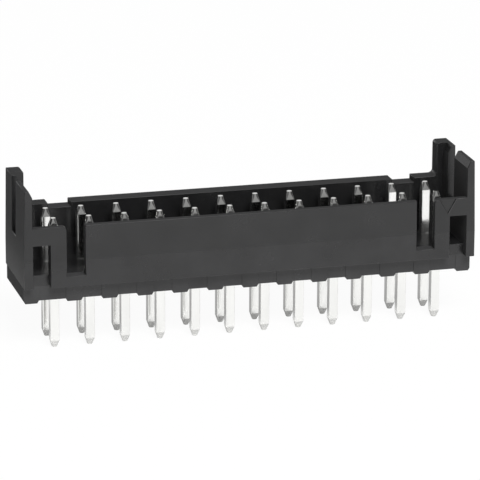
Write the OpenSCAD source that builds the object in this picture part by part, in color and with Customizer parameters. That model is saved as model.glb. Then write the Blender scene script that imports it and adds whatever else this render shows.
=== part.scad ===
// Shrouded two-row board header: one moulded housing, and square pins pressed through its floor.
// The origin is the middle of the pin pattern on the board's surface.
// +X runs along the rows towards the marked end, -Y is the latch side, and +Z points up from the board.

/* [Contacts] */
// Distance between neighbouring pins of a row
pitch = 2; // [1.8:0.05:2.6]
// Distance between the two rows
row_gap = 2; // [1.7:0.05:2.3]
// Number of pins in a row
row_pins = 12; // [4:1:20]
// Side of the square wire that a pin is made of
pin_w = 0.5; // [0.4:0.01:0.64]
// Height of the pin tops above the board
pin_top_z = 4.6; // [3.8:0.05:5.4]
// Length of a solder tail below the board
tail_l = 2.8; // [2:0.05:4]
// Length of the taper at the top of a pin
tip_l = 0.45; // [0.3:0.05:0.9]
// Length of the taper at the end of a solder tail
tail_tip_l = 0.4; // [0.3:0.05:0.9]
// Side of the flat left at both ends of a pin
tip_w = 0.3; // [0.15:0.01:0.36]
// Play around a pin in its hole; a pressed pin has none
pin_fit = 0; // [0:0.01:0.05]

/* [Shroud] */
// Distance from the axis of the last pin to the end face
end_margin = 1.9; // [1.7:0.05:2.6]
// Width over the latch face and the back face
body_w = 5.2; // [4.9:0.05:5.8]
// Thickness of the latch-side wall
front_wall = 0.4; // [0.3:0.05:0.65]
// Thickness of the back wall
back_wall = 0.9; // [0.5:0.05:0.95]
// Thickness of an end wall
end_wall = 0.5; // [0.35:0.05:0.7]
// Height of the floor inside, above the board
floor_z = 1.6; // [1.3:0.05:2]
// Height of the top of the latch-side wall above the board
front_wall_z = 4.45; // [4:0.05:5]
// Height of the top of the back wall above the board
back_wall_z = 4.58; // [4:0.02:5.2]
// Height of the four corner posts above the board
post_z = 6.55; // [5.8:0.05:7.5]
// Height at which the latch face and the end faces start to lean inwards
draft_z = 2.5; // [2:0.05:3]
// Lean of the latch face and the end faces above that height, in degrees
draft = 1; // [0:0.1:2]

/* [End walls] */
// Width of the key slot between the two posts of an end
key_w = 1.1; // [0.7:0.05:1.4]
// Distance of the key slot from the middle, towards the back
key_y = 0.35; // [0:0.05:0.6]
// Height of the key slot's bottom above the board
key_z = 3.43; // [2.6:0.01:4.2]
// Width of the sloped lead-in inside the posts
lead_w = 0.2; // [0.1:0.01:0.3]
// Height of the sloped lead-in inside the posts
lead_h = 0.4; // [0.3:0.05:1]
// Length of a back post along the back wall
return_w = 0.9; // [0.75:0.05:1.2]
// Radius of the round on top of a back post
return_round = 0.18; // [0.1:0.01:0.4]
// Radius of the fillet between a back post and the back wall
return_fillet = 0.25; // [0.1:0.01:0.4]

/* [Latch side] */
// Width of the open slots in the latch-side wall
slot_w = 1.05; // [0.7:0.05:1.2]
// Radius of the round beside a slot
slot_round = 0.22; // [0.1:0.01:0.4]
// Width of the lock windows beside the end walls
window_w = 0.98; // [0.6:0.02:1.1]
// Height of the top of the lock windows above the board
window_z = 3.43; // [2.8:0.01:3.8]
// Width of the notches in the top of the back wall
notch_w = 1.3; // [0.8:0.05:1.6]
// Depth of the notches in the top of the back wall
notch_h = 0.27; // [0.1:0.01:0.5]
// Width of the triangle that marks the first contact
mark_w = 0.95; // [0.6:0.05:1.1]
// Height of the triangle that marks the first contact
mark_h = 0.85; // [0.5:0.05:1]
// Depth of the triangle that marks the first contact
mark_d = 0.1; // [0.07:0.01:0.3]
// Distance from the middle of that triangle to the end face
mark_inset = 1.6; // [1.4:0.05:1.8]

/* [Base and feet] */
// Height of the ledge under the latch-side wall above the board
ledge_z = 1; // [0.7:0.05:1.2]
// Distance of the base behind the latch face
base_setback = 0.6; // [0.3:0.05:0.75]
// Distance of the base's ends behind the end faces
base_inset = 0.06; // [0.02:0.01:0.15]
// Depth of the panels between the feet in the base's front
panel_d = 0.03; // [0.02:0.01:0.2]
// Height of the feet, which keep the base off the board
foot_h = 0.15; // [0.1:0.01:0.3]
// Width of a foot between two pins
foot_w = 0.95; // [0.6:0.05:1.1]
// Width of the feet at the two ends
end_foot_w = 0.85; // [0.5:0.05:1.2]
// Length of the feet on the latch side
front_foot_l = 1.5; // [0.6:0.05:1.8]
// Length of the feet on the back
back_foot_l = 0.5; // [0.3:0.05:0.7]
// Sideways slope of a foot's flanks
foot_slope = 0.09; // [0:0.01:0.12]

/* [Hidden] */
$fn = 48;
// Overlap that keeps the faces of a cut apart from the faces of the body
cut = 0.05;
span = (row_pins - 1) * pitch;
x_end = span / 2 + end_margin;
x_in = x_end - end_wall;
x_base = x_end - base_inset;
// The space inside is centred on the pins, so the housing's own middle lies behind theirs
body_back = (back_wall - front_wall) / 2;
// Places in Y are counted from the housing's own middle
y_face = body_w / 2;
y_front_in = -y_face + front_wall;
y_back_in = y_face - back_wall;
y_base = -y_face + base_setback;
x_slot = span / 2 - pitch / 2;
x_return = x_end - return_w;
lean_at_post = (post_z - draft_z) * tan(draft);
inner_feet = [for (i = [1:row_pins - 1]) (i - row_pins / 2) * pitch - foot_w / 2];

function pin_name(row, i) = str(row, "_pin_", i < 10 ? "0" : "", i);
function pin_x(i) = span / 2 - (i - 1) * pitch;

front_names = [for (i = [1:row_pins]) pin_name("front", i)];
back_names = [for (i = [1:row_pins]) pin_name("back", i)];

// An outline drawn in Y and Z, run along X from the middle
module along_x(length) {
  rotate([90, 0, 90]) linear_extrude(length, center = true) children();
}

// An outline drawn in X and Z, run along Y from one place to another
module along_y(from, to) {
  translate([0, to, 0]) rotate([90, 0, 0]) linear_extrude(to - from) children();
}

// What is left of the housing when the latch face leans in, in Y and Z
module leaning_outline() {
  polygon([
    [-y_face, -cut],
    [y_face + cut, -cut],
    [y_face + cut, post_z],
    [-y_face + lean_at_post, post_z],
    [-y_face, draft_z]
  ]);
}

// What is shown at the +X end, and again at the -X end
module both_ends() {
  children();
  mirror([1, 0, 0]) children();
}

// The piece between a square corner at the origin and a round that touches both sides
module corner_piece(radius) {
  difference() {
    translate([-cut, -cut]) square(radius + cut);
    translate([radius, radius]) circle(radius);
  }
}

// Floor and long walls, from the ledge up
module tray_outline() {
  polygon([
    [-y_face, ledge_z],
    [y_face, ledge_z],
    [y_face, back_wall_z],
    [y_back_in, back_wall_z],
    [y_back_in, floor_z],
    [y_front_in, floor_z],
    [y_front_in, front_wall_z],
    [-y_face, front_wall_z]
  ]);
}

// An end wall with its two posts, parted by the key slot, in Y and Z
module end_wall_outline() {
  difference() {
    translate([-y_face, ledge_z]) square([body_w, post_z - ledge_z]);
    translate([key_y - key_w / 2, key_z]) square([key_w, post_z]);
  }
}

// The same wall cut across, in X and Z: the end face leans in, and the posts have a sloped lead-in inside
module end_wall_section() {
  polygon([
    [x_in, ledge_z],
    [x_end, ledge_z],
    [x_end, draft_z],
    [x_end - lean_at_post, post_z],
    [x_in + lead_w, post_z],
    [x_in, post_z - lead_h]
  ]);
}

module end_wall() {
  intersection() {
    along_x(2 * x_end) end_wall_outline();
    along_y(-y_face, y_face) end_wall_section();
  }
}

// The leg of a back post that runs along the back wall, into the end wall
module return_outline() {
  difference() {
    translate([x_return, floor_z]) square([x_in + lead_w - x_return, post_z - floor_z]);
    translate([x_return, post_z]) mirror([0, 1]) corner_piece(return_round);
  }
  translate([x_return, back_wall_z]) mirror([1, 0]) corner_piece(return_fillet);
}

// Base under the tray: a block with a foot beside every pin
module base_outline() {
  translate([y_base + panel_d, foot_h]) square([y_face - y_base - panel_d, floor_z - foot_h]);
}

module base() {
  along_x(2 * x_base) base_outline();
  for (x = inner_feet) foot(x, x + foot_w);
  both_ends() foot(x_base - end_foot_w, x_base);
}

module foot_outline(x0, x1, top) {
  polygon([[x0, top], [x0, foot_h], [x0 + foot_slope, 0], [x1 - foot_slope, 0], [x1, foot_h], [x1, top]]);
}

module foot(x0, x1) {
  along_y(y_base, y_base + front_foot_l) foot_outline(x0, x1, ledge_z + cut);
  along_y(y_face - back_foot_l, y_face) foot_outline(x0, x1, ledge_z);
}

module slot_cut() {
  translate([x_slot - slot_w / 2, -y_face - cut, floor_z]) cube([slot_w, front_wall + 2 * cut, front_wall_z]);
  along_y(-y_face - cut, y_front_in + cut)
    translate([x_slot + slot_w / 2, front_wall_z]) mirror([0, 1]) corner_piece(slot_round);
}

// A lock window opens into the shroud above the floor and shows the front of the base below it
module window_cut() {
  translate([x_in - window_w, -y_face - cut, 0]) {
    translate([0, 0, floor_z]) cube([window_w, front_wall + 2 * cut, window_z - floor_z]);
    translate([0, 0, ledge_z - cut]) cube([window_w, base_setback + cut, window_z - ledge_z + cut]);
  }
}

module notch_cut() {
  translate([x_slot - notch_w / 2, y_back_in - cut, back_wall_z - notch_h])
    cube([notch_w, back_wall + 2 * cut, notch_h + cut]);
}

module mark_cut() {
  along_y(-y_face - cut, -y_face + mark_d) translate([x_end - mark_inset, front_wall_z])
    polygon([[-mark_w / 2, cut], [-mark_w / 2, 0], [0, -mark_h], [mark_w / 2, 0], [mark_w / 2, cut]]);
}

module pin_holes() {
  hole_w = pin_w + 2 * pin_fit;
  for (i = [1:row_pins], y = [-row_gap / 2, row_gap / 2])
    translate([pin_x(i) - hole_w / 2, y - hole_w / 2, 0]) cube([hole_w, hole_w, floor_z + cut]);
}

// The housing about its own middle, before the pin holes
module moulding() {
  difference() {
    intersection() {
      union() {
        along_x(2 * x_in + end_wall) tray_outline();
        both_ends() end_wall();
        both_ends() along_y(y_back_in, y_face) return_outline();
        base();
      }
      along_x(2 * x_end + cut) leaning_outline();
    }
    both_ends() slot_cut();
    both_ends() window_cut();
    both_ends() notch_cut();
    mark_cut();
  }
}

module housing() {
  color([0.13, 0.13, 0.14]) difference() {
    translate([0, body_back, 0]) moulding();
    pin_holes();
  }
}

// A pin seen from any of its four sides
module pin_outline() {
  polygon([
    [-tip_w / 2, -tail_l],
    [tip_w / 2, -tail_l],
    [pin_w / 2, -tail_l + tail_tip_l],
    [pin_w / 2, pin_top_z - tip_l],
    [tip_w / 2, pin_top_z],
    [-tip_w / 2, pin_top_z],
    [-pin_w / 2, pin_top_z - tip_l],
    [-pin_w / 2, -tail_l + tail_tip_l]
  ]);
}

module pin() {
  color([0.86, 0.86, 0.84]) intersection() {
    along_x(pin_w) pin_outline();
    along_y(-pin_w / 2, pin_w / 2) pin_outline();
  }
}

module front_pin(i) {
  translate([pin_x(i), -row_gap / 2, 0]) pin();
}

module back_pin(i) {
  translate([pin_x(i), row_gap / 2, 0]) pin();
}

housing();
for (i = [1:row_pins]) {
  front_pin(i);
  back_pin(i);
}
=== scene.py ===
"""Looks of a shrouded two-row board header: a black moulded housing and square tinned pins."""
import math

import bmesh
import bpy
from mathutils import Matrix, Vector


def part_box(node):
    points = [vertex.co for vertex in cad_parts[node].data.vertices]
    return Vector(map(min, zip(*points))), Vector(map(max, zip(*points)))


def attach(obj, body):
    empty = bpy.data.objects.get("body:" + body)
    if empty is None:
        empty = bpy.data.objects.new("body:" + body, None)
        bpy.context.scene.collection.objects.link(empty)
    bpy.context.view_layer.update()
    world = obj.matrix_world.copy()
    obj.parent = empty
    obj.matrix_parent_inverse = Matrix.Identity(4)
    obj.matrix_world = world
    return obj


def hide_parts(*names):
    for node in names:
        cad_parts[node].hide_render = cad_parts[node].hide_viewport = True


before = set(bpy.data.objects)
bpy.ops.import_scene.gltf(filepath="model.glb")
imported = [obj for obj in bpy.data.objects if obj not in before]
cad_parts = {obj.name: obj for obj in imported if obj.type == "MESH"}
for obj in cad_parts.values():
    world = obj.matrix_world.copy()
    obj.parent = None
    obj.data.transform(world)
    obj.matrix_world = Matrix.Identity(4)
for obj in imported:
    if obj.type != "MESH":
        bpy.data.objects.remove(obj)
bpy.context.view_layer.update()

MM = 0.001
WHITE = (1, 1, 1, 1)

# Places read from the frame
pin_low, pin_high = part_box("front_pin_01")
next_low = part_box("front_pin_02")[0]
behind_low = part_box("back_pin_01")[0]
housing_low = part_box("housing")[0]
front_pins = sorted(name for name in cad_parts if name.startswith("front_pin"))
back_pins = sorted(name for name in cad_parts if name.startswith("back_pin"))
pin_w = pin_high.x - pin_low.x
pitch = pin_low.x - next_low.x
row_gap = behind_low.y - pin_low.y
ground = pin_low.z

# Variation that both materials share, and the range that it mostly keeps to
MOTTLE_LOW = 0.3
MOTTLE_HIGH = 0.7
NOISE_DETAIL = 3.0
NOISE_ROUGHNESS = 0.55
GRAIN_DEPTH = 0.01 * MM

# Housing: rounds of the outer edges, which the solids leave sharp
WALL_ROUND = 0.05 * MM
BASE_ROUND = 0.02 * MM
ROUND_SEGMENTS = 2
ROUND_FACET = 0.042 * MM
MERGE_DISTANCE = 0.0001 * MM
LEDGE_SLACK = 0.01 * MM
COPLANAR_ANGLE = math.radians(0.3)
OUTER_EDGE_ANGLE = math.radians(40)
SHARP_ANGLE = math.radians(50)

# Housing: heights at which the finish and the painted light change, the depth of the window sills behind the
# latch face, and the width over which one finish gives way to the next
LEDGE_Z = 1.0 * MM
DRAFT_Z = 2.5 * MM
RIM_Z = 4.0 * MM
SILL_DEPTH = 0.66 * MM
FADE = 0.02 * MM

# Housing: how squarely a surface faces the end, or up, to count as an end face or a rim. A lean towards the
# end counts against a rim, so that the sloped lead-ins stay satin
END_FROM = 0.92
END_TO = 0.98
RIM_FROM = 0.1
RIM_TO = 0.8
RIM_LEAN = 0.5

# Housing: grey and roughness of the plastic. The tones multiply its grey as painted light, and matte adds to
# its roughness
PLASTIC_MOTTLE = 500.0
PLASTIC_GRAIN = 14000.0
PLASTIC_STRETCH = 1.0
PLASTIC_BUMP = 0.12
PLASTIC_GREYS = (0.009, 0.015)
PLASTIC_BLUE = 1.03
SATIN = (0.2, 0.28)
MATTE = 0.75
END_MATTE_LOW = 0.45
RIM_PAINTED_SHEEN = 1.6
LOWER_WALL_PAINTED_LIGHT = 1.3
BASE_PAINTED_LIGHT = 1.6

# Pins: rounded long edges and coined ends
PIN_ROUND = 0.045 * MM
TIP_W = 0.3 * MM
TIP_L = 0.45 * MM
TIP_ROUND = 0.13 * MM
TIP_EDGE = 0.02 * MM
WAIST_W = 0.366 * MM
WAIST_ROUND = 0.15 * MM
WAIST_L = 0.15 * MM
TAIL_TIP_L = 0.4 * MM
TAIL_EDGE = 0.06 * MM
TAIL_EDGE_MID = 0.3 * TAIL_EDGE
CORNER_STEPS = 5
ROWS = 2

# Pins: grey and roughness of the tin, which is rougher where the tails were cut and painted darker there as
# painted shade
TIN_MOTTLE = 1500.0
TIN_GRAIN = 12000.0
TIN_STRETCH = 0.12
TIN_BUMP = 0.06
TIN_GREYS = (0.88, 0.96)
TIN_BLUE = 0.98
GLOSS = (0.1, 0.18)
CUT_END_PAINTED_SHADE = 0.7
CUT_ROUGH = 0.35

# Camera, fitted to the photograph
CAMERA_AIM = Vector((-0.057, 0.268, 2.152)) * MM
CAMERA_DISTANCE = 197.9 * MM
CAMERA_AZIMUTH = math.radians(-15.147)
CAMERA_ELEVATION = math.radians(16.756)
CAMERA_ROLL = math.radians(0.249)
CAMERA_LENS = 265.24
SENSOR = 36.0
CLIP_NEAR = 0.01
CLIP_FAR = 10

# Studio
KEY_AZIMUTH = math.radians(2)
KEY_ELEVATION = math.radians(47)
KEY_DISTANCE = 0.6
KEY_SIZE = 0.25
KEY_POWER = 4.0
FILL_STRENGTH = 0.3
ROOM_STRENGTH = 0.27
BACKDROP_STRENGTH = 0.75
BACKDROP_BLEND = 0.3
SIDE_STRENGTH = 0.27
SIDE_FROM = 0.25
SIDE_TO = 0.6
FLOOR_COLOUR = 0.95
FLOOR_WHITE = 0.95
FLOOR_MIRRORED = 0.25
FLOOR_HALF = 2.0


def direction(azimuth, elevation):
    """Unit vector from the object towards a place; azimuth 0 is straight in front of the latch side."""
    flat = math.cos(elevation)
    return Vector((math.sin(azimuth) * flat, -math.cos(azimuth) * flat, math.sin(elevation)))


def add_to_scene(name, data):
    piece = bpy.data.objects.new(name, data)
    bpy.context.scene.collection.objects.link(piece)
    return piece


# Nodes


def add(tree, kind, **values):
    """Adds a node, with inputs by socket name and settings by attribute name."""
    node = tree.nodes.new(kind)
    for key, value in values.items():
        socket = key.replace("_", " ")
        if socket in node.inputs:
            node.inputs[socket].default_value = value
        else:
            setattr(node, key, value)
    return node


def link(tree, source, target):
    tree.links.new(source, target)


def calculate(tree, operation, first, second=0.0):
    """Output of a Math node; each operand is a socket or a number."""
    node = add(tree, "ShaderNodeMath", operation=operation)
    for socket, operand in zip(node.inputs, (first, second)):
        if isinstance(operand, (int, float)):
            socket.default_value = operand
        else:
            link(tree, operand, socket)
    return node.outputs["Value"]


def ramp(tree, source, start, end, low, high):
    """A value that runs from low to high as the source runs from start to end."""
    node = add(tree, "ShaderNodeMapRange", From_Min=start, From_Max=end, To_Min=low, To_Max=high)
    link(tree, source, node.inputs["Value"])
    return node.outputs["Result"]


def coordinates(tree, kind):
    """X, Y and Z of a texture coordinate: Object is the place on the piece, Normal the way it faces."""
    place = add(tree, "ShaderNodeTexCoord")
    parts = add(tree, "ShaderNodeSeparateXYZ")
    link(tree, place.outputs[kind], parts.inputs["Vector"])
    return parts.outputs


# Effects shared by the materials


def make_mottle_group():
    """Slow and fine variation over a surface, with a stretch along Z."""
    group = bpy.data.node_groups.new("surface_mottle", "ShaderNodeTree")
    for name in ("Slow scale", "Fine scale", "Stretch"):
        group.interface.new_socket(name, in_out="INPUT", socket_type="NodeSocketFloat")
    for name in ("Slow", "Fine"):
        group.interface.new_socket(name, in_out="OUTPUT", socket_type="NodeSocketFloat")
    inside = add(group, "NodeGroupInput")
    outside = add(group, "NodeGroupOutput")
    place = add(group, "ShaderNodeTexCoord")
    stretch = add(group, "ShaderNodeCombineXYZ", X=1.0, Y=1.0)
    scaled = add(group, "ShaderNodeVectorMath", operation="MULTIPLY")
    link(group, inside.outputs["Stretch"], stretch.inputs["Z"])
    link(group, place.outputs["Object"], scaled.inputs[0])
    link(group, stretch.outputs["Vector"], scaled.inputs[1])
    for name in ("Slow", "Fine"):
        noise = add(group, "ShaderNodeTexNoise", Detail=NOISE_DETAIL, Roughness=NOISE_ROUGHNESS)
        link(group, scaled.outputs["Vector"], noise.inputs["Vector"])
        link(group, inside.outputs[name + " scale"], noise.inputs["Scale"])
        link(group, noise.outputs["Fac"], outside.inputs[name])
    return group


def new_material(name):
    material = bpy.data.materials.new(name)
    material.use_nodes = True
    tree = material.node_tree
    return material, tree, tree.nodes["Principled BSDF"]


def add_mottle(tree, mottle, slow_scale, fine_scale, stretch):
    surface = add(tree, "ShaderNodeGroup", node_tree=mottle)
    surface.inputs["Slow scale"].default_value = slow_scale
    surface.inputs["Fine scale"].default_value = fine_scale
    surface.inputs["Stretch"].default_value = stretch
    return surface.outputs["Slow"], surface.outputs["Fine"]


def vary(tree, slow, limits):
    """A value that wanders between two limits with the slow variation."""
    return ramp(tree, slow, MOTTLE_LOW, MOTTLE_HIGH, *limits)


def grey(tree, value, blue):
    """A colour from a value, with its blue part multiplied."""
    colour = add(tree, "ShaderNodeCombineColor")
    link(tree, value, colour.inputs["Red"])
    link(tree, value, colour.inputs["Green"])
    link(tree, calculate(tree, "MULTIPLY", value, blue), colour.inputs["Blue"])
    return colour.outputs["Color"]


def add_grain(tree, shader, fine, strength):
    bump = add(tree, "ShaderNodeBump", Strength=strength, Distance=GRAIN_DEPTH)
    link(tree, fine, bump.inputs["Height"])
    link(tree, bump.outputs["Normal"], shader.inputs["Normal"])


# Housing plastic


def mask_rims(tree, at, facing, endwards):
    """1 on what faces up at the top of the walls and on the sills of the front openings, 0 elsewhere."""
    lean = calculate(tree, "MULTIPLY", endwards, RIM_LEAN)
    upward = calculate(tree, "SUBTRACT", facing["Z"], lean)
    upward = ramp(tree, upward, RIM_FROM, RIM_TO, 0.0, 1.0)
    high = ramp(tree, at["Z"], RIM_Z - FADE, RIM_Z, 0.0, 1.0)
    sill_back = housing_low.y + SILL_DEPTH
    sill = ramp(tree, at["Y"], sill_back - FADE, sill_back, 1.0, 0.0)
    return calculate(tree, "MULTIPLY", upward, calculate(tree, "MAXIMUM", high, sill))


def make_housing_plastic(mottle):
    """Black filled plastic as it leaves the mould.

    The walls are satin. Rims, sills and end faces are matte, from spark-eroded steel, and the end faces are
    smoother towards the ledge. The grey is painted lighter on the lower walls, as painted light that stands
    in for their brighter reflection. It is lighter still on the long sides of the base, as painted light in
    the ledge's shade. It is lighter on the rims and sills, as a painted sheen.
    """
    material, tree, shader = new_material("housing_plastic")
    slow, fine = add_mottle(tree, mottle, PLASTIC_MOTTLE, PLASTIC_GRAIN, PLASTIC_STRETCH)
    at = coordinates(tree, "Object")
    facing = coordinates(tree, "Normal")
    endwards = calculate(tree, "ABSOLUTE", facing["X"])
    end_face = ramp(tree, endwards, END_FROM, END_TO, 0.0, 1.0)
    below_ledge = ramp(tree, at["Z"], LEDGE_Z - FADE, LEDGE_Z, 1.0, 0.0)
    rim = mask_rims(tree, at, facing, endwards)

    # Painted light: the walls below the draft line are painted lighter, standing in for their brighter
    # reflection
    painted_wall_light = ramp(tree, at["Z"], DRAFT_Z - FADE, DRAFT_Z + FADE, LOWER_WALL_PAINTED_LIGHT, 1.0)
    # Painted light: the long sides of the base below the ledge are painted lighter still, lifting the shade
    # under the ledge
    painted_base_light = calculate(tree, "SUBTRACT", below_ledge, end_face)
    painted_base_light = ramp(tree, painted_base_light, 0.0, 1.0, 1.0, BASE_PAINTED_LIGHT)
    lower = calculate(tree, "MULTIPLY", painted_wall_light, painted_base_light)
    tone = calculate(tree, "MULTIPLY", vary(tree, slow, PLASTIC_GREYS), lower)
    # Painted sheen: the rims and sills are painted lighter
    tone = calculate(tree, "MULTIPLY", tone, ramp(tree, rim, 0.0, 1.0, 1.0, RIM_PAINTED_SHEEN))
    link(tree, grey(tree, tone, PLASTIC_BLUE), shader.inputs["Base Color"])

    end_matte = ramp(tree, at["Z"], LEDGE_Z, RIM_Z, END_MATTE_LOW, MATTE)
    base_matte = calculate(tree, "MULTIPLY", below_ledge, MATTE)
    end_matte = calculate(tree, "MAXIMUM", end_matte, base_matte)
    end_matte = calculate(tree, "MULTIPLY", end_face, end_matte)
    matte = calculate(tree, "MAXIMUM", end_matte, calculate(tree, "MULTIPLY", rim, MATTE))
    rough = calculate(tree, "ADD", vary(tree, slow, SATIN), matte)
    link(tree, rough, shader.inputs["Roughness"])
    add_grain(tree, shader, fine, PLASTIC_BUMP)
    return material


# Pin tin


def make_pin_tin(mottle):
    """Bright tin plate over drawn wire, faintly streaked along the pin, rougher where the tail was cut, and
    painted darker there as painted shade, standing in for the mirrored shadow under the part.
    """
    material, tree, shader = new_material("pin_tin")
    slow, fine = add_mottle(tree, mottle, TIN_MOTTLE, TIN_GRAIN, TIN_STRETCH)
    at = coordinates(tree, "Object")
    shoulder = ground + TAIL_TIP_L
    cut_end = ramp(tree, at["Z"], shoulder - FADE, shoulder + FADE, 1.0, 0.0)
    # Painted shade: the cut ends are painted darker, standing in for the mirrored shadow under the part
    painted_end_shade = ramp(tree, cut_end, 0.0, 1.0, 1.0, CUT_END_PAINTED_SHADE)
    tone = calculate(tree, "MULTIPLY", vary(tree, slow, TIN_GREYS), painted_end_shade)
    link(tree, grey(tree, tone, TIN_BLUE), shader.inputs["Base Color"])
    cut_rough = calculate(tree, "MULTIPLY", cut_end, CUT_ROUGH)
    rough = calculate(tree, "ADD", vary(tree, slow, GLOSS), cut_rough)
    link(tree, rough, shader.inputs["Roughness"])
    add_grain(tree, shader, fine, TIN_BUMP)
    shader.inputs["Metallic"].default_value = 1.0
    return material


# Housing: the moulding with its outer edges rounded


def weigh_outer_edges(mesh):
    """Marks the convex edges that get a round: a full one on the walls, a finer one on the base and feet."""
    bm = bmesh.new()
    bm.from_mesh(mesh)
    bmesh.ops.remove_doubles(bm, verts=bm.verts, dist=MERGE_DISTANCE)
    bmesh.ops.dissolve_limit(bm, angle_limit=COPLANAR_ANGLE, verts=bm.verts, edges=bm.edges)
    weight = bm.edges.layers.float.new("bevel_weight_edge")
    for edge in bm.edges:
        if edge.is_convex and edge.calc_face_angle() > OUTER_EDGE_ANGLE:
            high = all(vertex.co.z > LEDGE_Z - LEDGE_SLACK for vertex in edge.verts)
            edge[weight] = 1.0 if high else BASE_ROUND / WALL_ROUND
    bm.to_mesh(mesh)
    bm.free()


def shade_rounds(mesh):
    """Shades the narrow facets of the rounds smooth and leaves the walls flat."""
    bm = bmesh.new()
    bm.from_mesh(mesh)
    for face in bm.faces:
        length = max(edge.calc_length() for edge in face.edges)
        face.smooth = face.calc_area() < ROUND_FACET * length
    for edge in bm.edges:
        edge.smooth = edge.calc_face_angle() < SHARP_ANGLE
    bm.to_mesh(mesh)
    bm.free()


def make_housing(material):
    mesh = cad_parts["housing"].data.copy()
    weigh_outer_edges(mesh)
    piece = add_to_scene("housing_moulding", mesh)
    bevel = piece.modifiers.new("edge_rounds", "BEVEL")
    bevel.limit_method = "WEIGHT"
    bevel.width = WALL_ROUND
    bevel.segments = ROUND_SEGMENTS
    evaluated = piece.evaluated_get(bpy.context.evaluated_depsgraph_get())
    rounded = bpy.data.meshes.new_from_object(evaluated)
    rounded.name = "housing_moulding"
    shade_rounds(rounded)
    rounded.materials.clear()
    rounded.materials.append(material)
    piece.modifiers.remove(bevel)
    piece.data = rounded
    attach(piece, "root")
    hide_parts("housing")


# Pins: one drawn pin, repeated over the grid by a node tree


def rounded_square(half, radius, z):
    """Points of a square ring with rounded corners at one height."""
    points = []
    for corner in range(4):
        turn = corner * math.pi / 2
        middle = turn + math.pi / 4
        centre_x = math.copysign(half - radius, math.cos(middle))
        centre_y = math.copysign(half - radius, math.sin(middle))
        for step in range(CORNER_STEPS + 1):
            angle = turn + step / CORNER_STEPS * math.pi / 2
            points.append((centre_x + radius * math.cos(angle), centre_y + radius * math.sin(angle), z))
    return points


def make_drawn_pin():
    """One pin on the Z axis: a square wire whose coined ends taper to a small rounded flat.

    Each ring has its half width, the radius of its corners, its height, and whether it is a crisp edge.
    """
    low, high = pin_low.z, pin_high.z
    tip, full = TIP_W / 2, pin_w / 2
    rings = [
        (tip - TAIL_EDGE, TIP_ROUND - TAIL_EDGE, low, False),
        (tip - TAIL_EDGE_MID, TIP_ROUND - TAIL_EDGE_MID, low + TAIL_EDGE_MID, False),
        (tip, TIP_ROUND, low + TAIL_EDGE, False),
        (full, PIN_ROUND, low + TAIL_TIP_L, True),
        (full, PIN_ROUND, high - TIP_L, True),
        (WAIST_W / 2, WAIST_ROUND, high - WAIST_L, False),
        (tip, TIP_ROUND, high - TIP_EDGE, True),
        (tip - TIP_EDGE, TIP_ROUND - TIP_EDGE, high, True),
    ]
    bm = bmesh.new()
    loops = [[bm.verts.new(point) for point in rounded_square(*ring[:3])] for ring in rings]
    for lower, upper in zip(loops, loops[1:]):
        for i in range(len(lower)):
            j = (i + 1) % len(lower)
            face = bm.faces.new((lower[i], lower[j], upper[j], upper[i]))
            is_flat_side = j % (CORNER_STEPS + 1) == 0
            face.smooth = not is_flat_side
    bm.faces.new(reversed(loops[0]))
    bm.faces.new(loops[-1])
    for loop, (*_, is_crisp) in zip(loops, rings):
        if is_crisp:
            for first, second in zip(loop, loop[1:] + loop[:1]):
                bm.edges.get((first, second)).smooth = False
    mesh = bpy.data.meshes.new("drawn_pin")
    bm.to_mesh(mesh)
    bm.free()
    return add_to_scene("drawn_pin", mesh)


def make_pin_field_tree(pin, material):
    """A tree that sets the pin at every point of a grid."""
    tree = bpy.data.node_groups.new("pin_field", "GeometryNodeTree")
    tree.interface.new_socket("Geometry", in_out="OUTPUT", socket_type="NodeSocketGeometry")
    for name, kind, value in (
        ("Pitch", "NodeSocketFloat", pitch),
        ("Row gap", "NodeSocketFloat", row_gap),
        ("Pins in a row", "NodeSocketInt", len(front_pins)),
    ):
        tree.interface.new_socket(name, in_out="INPUT", socket_type=kind).default_value = value
    inside = add(tree, "NodeGroupInput")
    outside = add(tree, "NodeGroupOutput")
    gaps = calculate(tree, "SUBTRACT", inside.outputs["Pins in a row"], 1)
    span = calculate(tree, "MULTIPLY", gaps, inside.outputs["Pitch"])
    grid = add(tree, "GeometryNodeMeshGrid", Vertices_Y=ROWS)
    source = add(tree, "GeometryNodeObjectInfo", Object=pin)
    spread = add(tree, "GeometryNodeInstanceOnPoints")
    realize = add(tree, "GeometryNodeRealizeInstances")
    dress = add(tree, "GeometryNodeSetMaterial", Material=material)
    link(tree, span, grid.inputs["Size X"])
    link(tree, inside.outputs["Row gap"], grid.inputs["Size Y"])
    link(tree, inside.outputs["Pins in a row"], grid.inputs["Vertices X"])
    link(tree, grid.outputs["Mesh"], spread.inputs["Points"])
    link(tree, source.outputs["Geometry"], spread.inputs["Instance"])
    link(tree, spread.outputs["Instances"], realize.inputs["Geometry"])
    link(tree, realize.outputs["Geometry"], dress.inputs["Geometry"])
    link(tree, dress.outputs["Geometry"], outside.inputs["Geometry"])
    return tree


def make_pins(material):
    pin = make_drawn_pin()
    maker = add_to_scene("pin_maker", bpy.data.meshes.new("pin_maker"))
    modifier = maker.modifiers.new("pin_field", "NODES")
    modifier.node_group = make_pin_field_tree(pin, material)
    evaluated = maker.evaluated_get(bpy.context.evaluated_depsgraph_get())
    mesh = bpy.data.meshes.new_from_object(evaluated)
    mesh.name = "tinned_pins"
    bpy.data.objects.remove(maker)
    bpy.data.objects.remove(pin)
    piece = add_to_scene("tinned_pins", mesh)
    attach(piece, "root")
    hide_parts(*front_pins, *back_pins)


# Studio: backdrop, floor, light and camera


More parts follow.
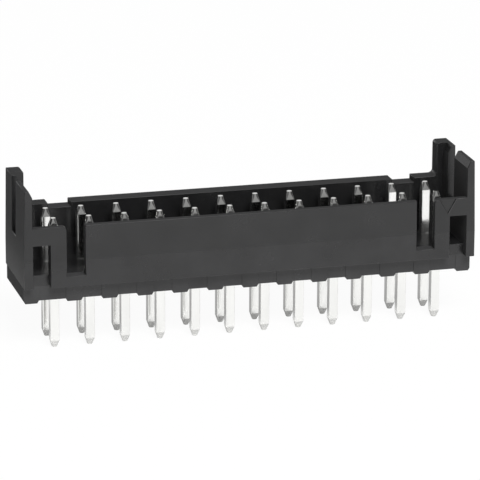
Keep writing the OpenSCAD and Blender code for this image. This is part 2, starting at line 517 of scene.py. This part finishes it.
def make_world():
    """White to the camera, and a fill for the light.

    Gloss mirrors a pale backdrop behind the object, a greyer room in front of it, and dark sides.
    """
    world = bpy.data.worlds.new("studio")
    bpy.context.scene.world = world
    world.use_nodes = True
    tree = world.node_tree
    sky = tree.nodes["Background"]
    sky.inputs["Color"].default_value = WHITE
    path = add(tree, "ShaderNodeLightPath").outputs
    towards = coordinates(tree, "Generated")
    room = ramp(tree, towards["Y"], -BACKDROP_BLEND, BACKDROP_BLEND, ROOM_STRENGTH, BACKDROP_STRENGTH)
    sideways = calculate(tree, "ABSOLUTE", towards["X"])
    sides = ramp(tree, sideways, SIDE_FROM, SIDE_TO, 1.0, SIDE_STRENGTH)
    around = calculate(tree, "MULTIPLY", room, sides)
    met = add(tree, "ShaderNodeMix", A=FILL_STRENGTH)
    link(tree, path["Is Glossy Ray"], met.inputs["Factor"])
    link(tree, around, met.inputs["B"])
    shown = calculate(tree, "MAXIMUM", path["Is Camera Ray"], path["Is Transmission Ray"])
    strength = calculate(tree, "MAXIMUM", shown, met.outputs["Result"])
    link(tree, strength, sky.inputs["Strength"])


def make_floor_white():
    """Pale paper that glows where the camera or gloss meets it, so that it shows white with a soft shadow."""
    material, tree, shader = new_material("floor_white")
    tree.nodes.remove(shader)
    path = add(tree, "ShaderNodeLightPath").outputs
    paper = add(tree, "ShaderNodeBsdfDiffuse", Color=(FLOOR_COLOUR, FLOOR_COLOUR, FLOOR_COLOUR, 1))
    glow = add(tree, "ShaderNodeEmission", Color=WHITE, Strength=1.0)
    mixed = add(tree, "ShaderNodeMixShader")
    mirrored = calculate(tree, "MAXIMUM", path["Is Glossy Ray"], path["Is Transmission Ray"])
    mirrored = calculate(tree, "MULTIPLY", mirrored, FLOOR_MIRRORED)
    shown = calculate(tree, "MULTIPLY", path["Is Camera Ray"], FLOOR_WHITE)
    link(tree, calculate(tree, "MAXIMUM", shown, mirrored), mixed.inputs["Fac"])
    link(tree, paper.outputs["BSDF"], mixed.inputs[1])
    link(tree, glow.outputs["Emission"], mixed.inputs[2])
    link(tree, mixed.outputs["Shader"], tree.nodes["Material Output"].inputs["Surface"])
    return material


def make_floor(material):
    signs = ((-1, -1), (1, -1), (1, 1), (-1, 1))
    corners = [(x * FLOOR_HALF, y * FLOOR_HALF, ground) for x, y in signs]
    mesh = bpy.data.meshes.new("floor")
    mesh.from_pydata(corners, [], [(0, 1, 2, 3)])
    mesh.materials.append(material)
    floor = add_to_scene("floor", mesh)


def make_key_light():
    light = bpy.data.lights.new("key_softbox", "AREA")
    light.size = KEY_SIZE
    light.energy = KEY_POWER
    towards = direction(KEY_AZIMUTH, KEY_ELEVATION)
    softbox = add_to_scene("key_softbox", light)
    softbox.location = towards * KEY_DISTANCE
    softbox.rotation_mode = "QUATERNION"
    softbox.rotation_quaternion = (-towards).to_track_quat("-Z", "Y")


def make_camera():
    data = bpy.data.cameras.new("camera")
    data.sensor_width = SENSOR
    data.lens = CAMERA_LENS
    data.clip_start = CLIP_NEAR
    data.clip_end = CLIP_FAR
    towards = direction(CAMERA_AZIMUTH, CAMERA_ELEVATION)
    camera = add_to_scene("camera", data)
    camera.location = CAMERA_AIM + towards * CAMERA_DISTANCE
    camera.rotation_mode = "QUATERNION"
    roll = Matrix.Rotation(CAMERA_ROLL, 3, "Z").to_quaternion()
    camera.rotation_quaternion = (-towards).to_track_quat("-Z", "Y") @ roll
    bpy.context.scene.camera = camera


bpy.context.scene.view_settings.view_transform = "Standard"
mottle_group = make_mottle_group()
make_housing(make_housing_plastic(mottle_group))
make_pins(make_pin_tin(mottle_group))
make_world()
make_floor(make_floor_white())
make_key_light()
make_camera()
